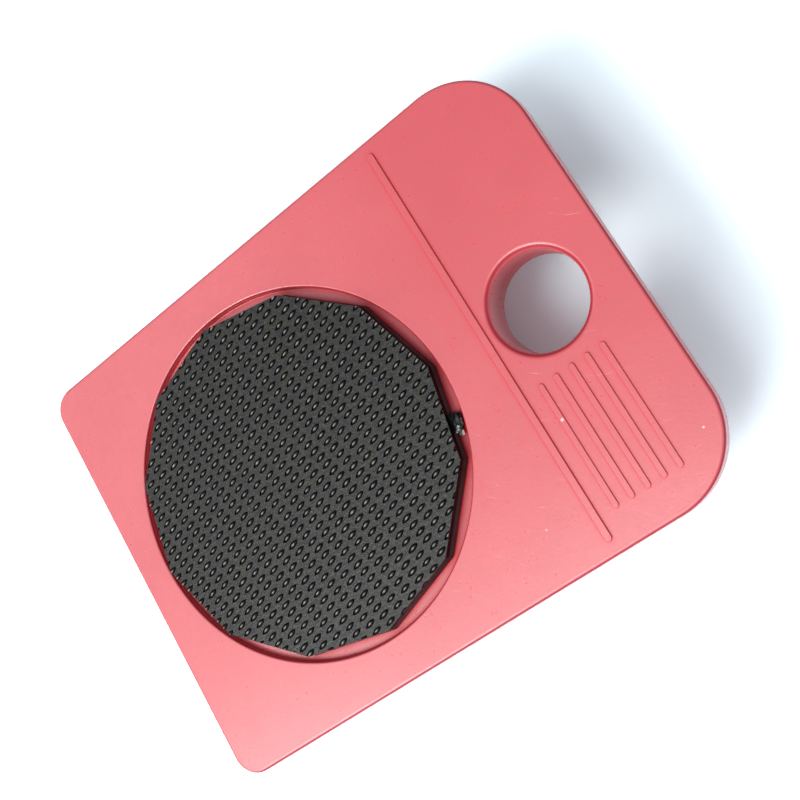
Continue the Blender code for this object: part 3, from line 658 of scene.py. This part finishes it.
def makePad():
    chance = random.Random(pad["seed"])
    across, upward = Vector(pad["across"]), Vector(pad["upward"])
    corners = [(-1, -1), (-0.5, -1), (0, -1), (0.5, -1), (1, -1), (1, -0.5), (1, 0), (1, 0.5)]
    corners += [(-u, -v) for u, v in corners]
    bm = bmesh.new()
    for i in range(-14, 15):
        for j in range(-26, 27):
            centre = Vector(pad["start"]) + across * i + upward * j
            if (centre - Vector((turnX, 0))).length > disc["radius"] + 2 * mm:
                continue
            rise = pad["rise"] * (1 + pad["uneven"] * chance.uniform(-1, 1))
            size = 1 + pad["uneven"] * chance.uniform(-0.6, 0.6)
            loops = [atHeight([centre + across * (u / 2) + upward * (v / 2) for u, v in corners], pad["field"])]
            for share, level in leafRings:
                z = pad["field"] + level * (rise if level > 0 else pad["groove"])
                loop = [centre + Vector(leafPoint(math.atan2(v, u), share * size)) for u, v in corners]
                loops.append(atHeight(loop, z))
            rings = skin(bm, loops, False, False)
            top = bm.verts.new((*centre, pad["field"] + rise))
            for k in range(16):
                bm.faces.new((rings[-1][k], rings[-1][(k + 1) % 16], top))
    bmesh.ops.remove_doubles(bm, verts=bm.verts, dist=1e-6)
    outline = polygon()
    for k, (x, y) in enumerate(outline):
        nextX, nextY = outline[(k + 1) % len(outline)]
        away = Vector((nextY - y, x - nextX, 0))
        everything = bm.verts[:] + bm.edges[:] + bm.faces[:]
        bmesh.ops.bisect_plane(bm, geom=everything, plane_co=(x, y, 0), plane_no=away, clear_outer=True)
    rim = [edge for edge in bm.edges if edge.is_boundary]
    side = bmesh.ops.extrude_edge_only(bm, edges=rim)["geom"]
    for vert in side:
        if isinstance(vert, bmesh.types.BMVert):
            vert.co.z = pad["low"]
    bmesh.ops.edgeloop_fill(bm, edges=[part for part in side if isinstance(part, bmesh.types.BMEdge)])
    sheet = toObject("gripPad", bm)
    sheet.data.shade_smooth()
    sheet.data.set_sharp_from_angle(angle=math.radians(62))
    dress(sheet, padRubber, "turntable", "rubber", "grip_pad")
    print("pad made:", len(sheet.data.polygons), "faces")


makePad()

# Wheel carrier: a tray under the plate, with four wells, blind slots for the axles and sunk screw seats
carrier = dict(
    rearX=-0.04765, gripX=0.0230, halfWidth=0.0358, low=0.0045, high=0.0197, corner=0.00195, edge=0.0006,
    topEdge=0.0003, wall=0.0035, floorTop=0.0065, bayCorner=0.0008, bearing=(0.0168, 0.0203),
    wellWall=0.0020, wellHalf=0.0093, wellY=(0.0203, 0.0323), slotHalf=0.0023, slotY=(0.0178, 0.0348), slotTop=0.014,
    seat=0.0051, seatZ=0.0086, sink=0.0033, sinkZ=0.0066, screwHole=0.00175, access=0.0112, lip=0.0003,
)


def carrierOutline(inset, corner):
    rear, grip = carrier["rearX"] + inset, carrier["gripX"] - inset
    return roundedOutline(rear, grip, carrier["halfWidth"] - inset, corner, corner, 10)


def wellCutter(x, side):
    # A square cutter that opens the floor under a wheel, flared below so that the edge is rounded.
    half, lip, low = carrier["wellHalf"], carrier["lip"], carrier["low"]
    y0, y1 = sorted(side * y for y in carrier["wellY"])
    flare = [(lip, low - past)]
    flare += [(lip - lip * math.cos(a), low + lip - lip * math.sin(a)) for a in (1.57, 1.05, 0.52, 0)]
    loops = []
    for grow, z in flare:
        x0, x1 = x - half - grow, x + half + grow
        ring = [(x0, y0 - grow), (x1, y0 - grow), (x1, y1 + grow), (x0, y1 + grow)]
        loops.append(atHeight(ring, z))
    loops.append(atHeight(ring, carrier["floorTop"] + past))
    bm = bmesh.new()
    skin(bm, loops)
    return toObject("well", bm)


def slotCutter(x, side):
    half = carrier["slotHalf"]
    outline = arcPoints(0, 0, half, 180, 360, 16) + [(half, carrier["slotTop"]), (-half, carrier["slotTop"])]
    slot = prism("slot", outline, *sorted(side * y for y in carrier["slotY"]))
    slot.data.transform(Matrix(((1, 0, 0, x), (0, 0, 1, 0), (0, 1, 0, axleZ), (0, 0, 0, 1))))
    slot.data.flip_normals()
    return slot


def roundedMouth(radius, low, high):
    lip = carrier["lip"]
    mouth = arcPoints(radius + lip, low + lip, lip, 270, 180, 4)
    return [(0, low - past), (radius + lip, low - past), *mouth, (radius, high)]


def makeCarrier():
    low, high, edge, topEdge = (carrier[key] for key in ("low", "high", "edge", "topEdge"))
    loops = []
    for k in range(6):
        a = math.pi / 2 * k / 5
        inset = edge * (1 - math.sin(a))
        loops.append(atHeight(carrierOutline(inset, carrier["corner"] - inset), low + edge * (1 - math.cos(a))))
    for k in range(4):
        a = math.pi / 2 * k / 3
        inset = topEdge * (1 - math.cos(a))
        outline = carrierOutline(inset, carrier["corner"] - inset)
        loops.append(atHeight(outline, high - topEdge + topEdge * math.sin(a)))
    bm = bmesh.new()
    skin(bm, loops)
    tray = toObject("carrierTray", bm)
    bay = prism("bay", carrierOutline(carrier["wall"], carrier["bayCorner"]), carrier["floorTop"], high + past)
    combine(tray, "DIFFERENCE", bay)
    middle, wall = (low + carrier["floorTop"]) / 2, carrier["wall"] / 2
    parts = []
    lengthwise = (carrier["rearX"] + wall, carrier["gripX"] - wall)
    for side in hands.values():
        parts.append(block("bearing", lengthwise, [side * y for y in carrier["bearing"]], (middle, high)))
        for x, toward in ((axleX["rear"], 1), (axleX["front"], -1)):
            near = x + toward * carrier["wellHalf"]
            spanX = sorted((near, near + toward * carrier["wellWall"]))
            spanY = (side * (carrier["wellY"][0] - wall), side * (carrier["wellY"][1] + wall))
            parts.append(block("wellWall", spanX, spanY, (middle, high)))
    for x, y in screwPlaces.values():
        parts.append(cylinder("screwSeat", x, y, carrier["seat"], middle, carrier["seatZ"], 48))
    combine(tray, "UNION", *parts)
    for x in axleX.values():
        for side in hands.values():
            combine(tray, "DIFFERENCE", wellCutter(x, side), slotCutter(x, side))
    for x, y in screwPlaces.values():
        profile = roundedMouth(carrier["sink"], low, carrier["sinkZ"])
        hole, top = carrier["screwHole"], carrier["seatZ"] + past
        profile += [(hole, carrier["sinkZ"]), (hole, top), (0, top)]
        combine(tray, "DIFFERENCE", move(turned("screwHole", profile, 48), x, y))
    top = carrier["floorTop"] + past
    profile = roundedMouth(carrier["access"], low, top) + [(0, top)]
    combine(tray, "DIFFERENCE", move(turned("access", profile, 96), turnX))
    shade(tray)
    dress(tray, redPlastic, "plate", "red_plastic", "wheel_carrier")


makeCarrier()
print("carrier made")

# Wheels: moulded nylon with a crowned tread, two shallow grooves and ribs in the dished sides
wheel = dict(
    radius=0.0085, half=0.0055, edge=0.0010, rim=0.0020, hub=0.0042, dish=0.0008, bore=0.00231,
    grooveY=0.0018, grooveWidth=0.00045, grooveDepth=0.00022, soft=0.0002,
    ribs=6, ribThick=0.0009, ribDrop=0.00025, ribRoot=0.0003,
)
axle = dict(radius=0.0020, half=0.0082, chamfer=0.0003)


def wheelProfile():
    half, edge, soft = wheel["half"], wheel["edge"], wheel["soft"]
    rim, dish = wheel["radius"] - wheel["rim"], half - wheel["dish"]
    side = [(wheel["bore"] + soft, half)]
    side += arcPoints(wheel["hub"] - soft, half - soft, soft, 90, 0, 3) + [(wheel["hub"], dish)]
    side += [(rim, dish), *arcPoints(rim + soft, half - soft, soft, 180, 90, 3)]
    side += arcPoints(wheel["radius"] - edge, half - edge, edge, 90, 0, 6)
    width, depth = wheel["grooveWidth"] / 2, wheel["grooveDepth"]
    groove = [(width, 0), (width * 0.5, depth), (-width * 0.5, depth), (-width, 0)]
    side += [(wheel["radius"] - down, wheel["grooveY"] + across) for across, down in groove]
    mirrored = [(radius, -height) for radius, height in side[::-1]]
    return [(wheel["bore"], half - soft), *side, *mirrored, (wheel["bore"], soft - half)]


def onAxle(end, hand):
    # Moves a turned piece from the upright axis at the origin to a wheel's axis.
    place = Matrix.Translation((axleX[end], hands[hand] * wheelY, axleZ))
    return place @ Matrix.Rotation(math.pi / 2, 4, "X")


def makeWheel(end, hand):
    roller = turned(f"wheel_{end}_{hand}_moulded", wheelProfile(), 96, closed=True)
    inner, outer = wheel["hub"] - wheel["ribRoot"], wheel["radius"] - wheel["rim"] + wheel["ribRoot"]
    top = wheel["half"] - wheel["ribDrop"]
    ribs = []
    for k in range(wheel["ribs"]):
        rib = block("rib", (inner, outer), (-wheel["ribThick"] / 2, wheel["ribThick"] / 2), (-top, top))
        rib.data.transform(Matrix.Rotation(2 * math.pi * k / wheel["ribs"], 4, "Z"))
        ribs.append(rib)
    combine(roller, "UNION", *ribs)
    roller.data.transform(onAxle(end, hand))
    shade(roller, 30)
    dress(roller, wheelNylon, f"{end}_{hand}_wheel", "wheel_nylon", f"wheel_{end}_{hand}")


def makeAxle(end, hand):
    half, radius, soft = axle["half"], axle["radius"], axle["chamfer"]
    tip = [(0, half), *arcPoints(radius - soft, half - soft, soft, 90, 0, 4)]
    pin = turned(f"axle_{end}_{hand}_pin", tip + [(radius, -height) for radius, height in tip[::-1]], 48)
    pin.data.transform(onAxle(end, hand))
    shade(pin, 30)
    dress(pin, zincSteel, "plate", "steel", f"axle_{end}_{hand}")


for end in axleX:
    for hand in hands:
        makeWheel(end, hand)
        makeAxle(end, hand)
print("wheels and axles made")

# Pan-head screws with a tapered cross recess, and the washer under the pivot screw
screw = dict(head=0.0030, headHigh=0.0016, shank=0.00145, length=0.0144, seatZ=0.0063)
pivot = dict(head=0.0040, headHigh=0.0022, shank=0.0020, length=0.0045, seatZ=0.0182)
cross = dict(reach=0.52, slot=0.28, tip=0.20, deep=0.50, taper=0.62)
# the curve of a pan head, as shares of its radius and height
panCurve = ((1.0, 0.12), (1.0, 0.40), (0.97, 0.58), (0.90, 0.74), (0.78, 0.88), (0.60, 0.97), (0.36, 1.0))
washer = dict(radius=0.0100, bore=0.0023, low=0.0185, high=0.0197, edge=0.0002)


def makeScrew(name, kind, x, y, body, node):
    head, high, shank = kind["head"], kind["headHigh"], kind["shank"]
    crown = [(head * share, -high * depth) for share, depth in panCurve]
    profile = [(0, kind["length"]), (shank, kind["length"] - shank), (shank, 0), (head * 0.97, 0), *crown, (0, -high)]
    pin = turned(name, profile, 48)
    loops = []
    for z, taper in ((-high - mm, 1.0), (-high, 1.0), (-high * (1 - cross["deep"]), cross["taper"])):
        reach, tip, slot = cross["reach"] * taper, cross["tip"] / 2, cross["slot"] / 2
        arm = [(reach, -tip), (reach, tip), (slot, slot)]
        ring = []
        for _ in range(4):
            ring += [(head * px, head * py) for px, py in arm]
            arm = [(-py, px) for px, py in arm]
        loops.append(atHeight(ring, z))
    bm = bmesh.new()
    skin(bm, loops)
    combine(pin, "DIFFERENCE", toObject("cross", bm))
    move(pin, x, y, kind["seatZ"])
    shade(pin, 30)
    dress(pin, zincSteel, body, "steel", node)


def makeWasher():
    radius, bore, low, high, edge = (washer[key] for key in ("radius", "bore", "low", "high", "edge"))
    profile = arcPoints(radius - edge, high - edge, edge, 90, 0, 4)
    profile += arcPoints(radius - edge, low + edge, edge, 0, -90, 4)
    profile += arcPoints(bore + edge, low + edge, edge, 270, 180, 4)
    profile += arcPoints(bore + edge, high - edge, edge, 180, 90, 4)
    ring = move(turned("pivotWasherRing", profile, 96, closed=True), turnX)
    shade(ring, 30)
    dress(ring, zincSteel, "turntable", "steel", "pivot_washer")


for place, (x, y) in screwPlaces.items():
    makeScrew(f"screw_{place}_pan", screw, x, y, "plate", f"carrier_screw_{place}")
makeScrew("pivotPan", pivot, turnX, 0, "turntable", "pivot_screw")
makeWasher()
print("screws and washer made")

# Floor, light and surroundings
studio = dict(
    floorColor=(0.44, 0.54, 0.58, 1), floorShown=(1.40, 1.60, 1.68, 1), floorSize=6.0,
    zenith=(0.38, 0.395, 0.42, 1), horizon=(0.46, 0.475, 0.50, 1), horizonReach=0.5, nearSide=1.4, farSide=0.6,
)
# direction, distance, width, height and power of each soft lamp
lamps = dict(
    key=dict(toward=(-0.53, -0.28, 0.82), away=1.1, wide=0.72, high=0.44, power=5.8, color=(1.0, 0.985, 0.96)),
    ceiling=dict(toward=(-0.20, -0.17, 0.95), away=1.2, wide=0.45, high=0.45, power=2.7, color=(1.0, 0.99, 0.98)),
    window=dict(toward=(-0.60, 0.36, 0.75), away=1.2, wide=0.7, high=0.7, power=1.35, color=(0.97, 0.985, 1.0)),
    side=dict(toward=(-1.0, -0.9, 0.9), away=1.2, wide=1.1, high=1.1, power=4.2, color=(0.97, 0.985, 1.0)),
    fill=dict(toward=(1.0, -0.25, 0.5), away=1.2, wide=1.1, high=1.1, power=0.9, color=(0.97, 0.985, 1.0)),
)


def seenDirectly(tree):
    # 1 for rays that show the surface: straight, mirrored or through glass.
    rays = tree.nodes.new("ShaderNodeLightPath").outputs
    shown = math2(tree, "MAXIMUM", rays["Is Camera Ray"], rays["Is Glossy Ray"])
    return math2(tree, "MAXIMUM", shown, rays["Is Transmission Ray"])


def makeStudio():
    half = studio["floorSize"] / 2
    bm = bmesh.new()
    bm.faces.new([bm.verts.new((x, y, 0)) for x, y in ((-half, -half), (half, -half), (half, half), (-half, half))])
    floor = toObject("floor", bm)
    material, tree, shader = newMaterial("paleFloor", studio["floorColor"][:3], 0.9)
    shader.inputs["Specular IOR Level"].default_value = 0.1
    color = mixColor(tree, seenDirectly(tree), studio["floorColor"], studio["floorShown"])
    put(tree, shader.inputs["Base Color"], color)
    floor.data.materials.append(material)
    for name, lamp in lamps.items():
        data = bpy.data.lights.new(name, "AREA")
        data.shape = "ELLIPSE"
        data.size, data.size_y = lamp["wide"], lamp["high"]
        data.energy = lamp["power"]
        data.color = lamp["color"]
        light = bpy.data.objects.new(name, data)
        scene.collection.objects.link(light)
        toward = Vector(lamp["toward"]).normalized()
        light.location = toward * lamp["away"]
        light.rotation_euler = toward.to_track_quat("Z", "Y").to_euler()
    world = bpy.data.worlds.new("studio")
    scene.world = world
    world.use_nodes = True
    tree = world.node_tree
    sky = tree.nodes["Background"]
    source = tree.nodes.new("ShaderNodeTexCoord")
    split = tree.nodes.new("ShaderNodeSeparateXYZ")
    tree.links.new(source.outputs["Generated"], split.inputs[0])
    height = rescale(tree, split.outputs["Z"], 0.0, studio["horizonReach"])
    put(tree, sky.inputs["Color"], mixColor(tree, height, studio["horizon"], studio["zenith"]))
    put(tree, sky.inputs["Strength"], rescale(tree, split.outputs["Y"], -1, 1, studio["nearSide"], studio["farSide"]))
    scene.view_settings.view_transform = "Standard"


makeStudio()
print("studio made")
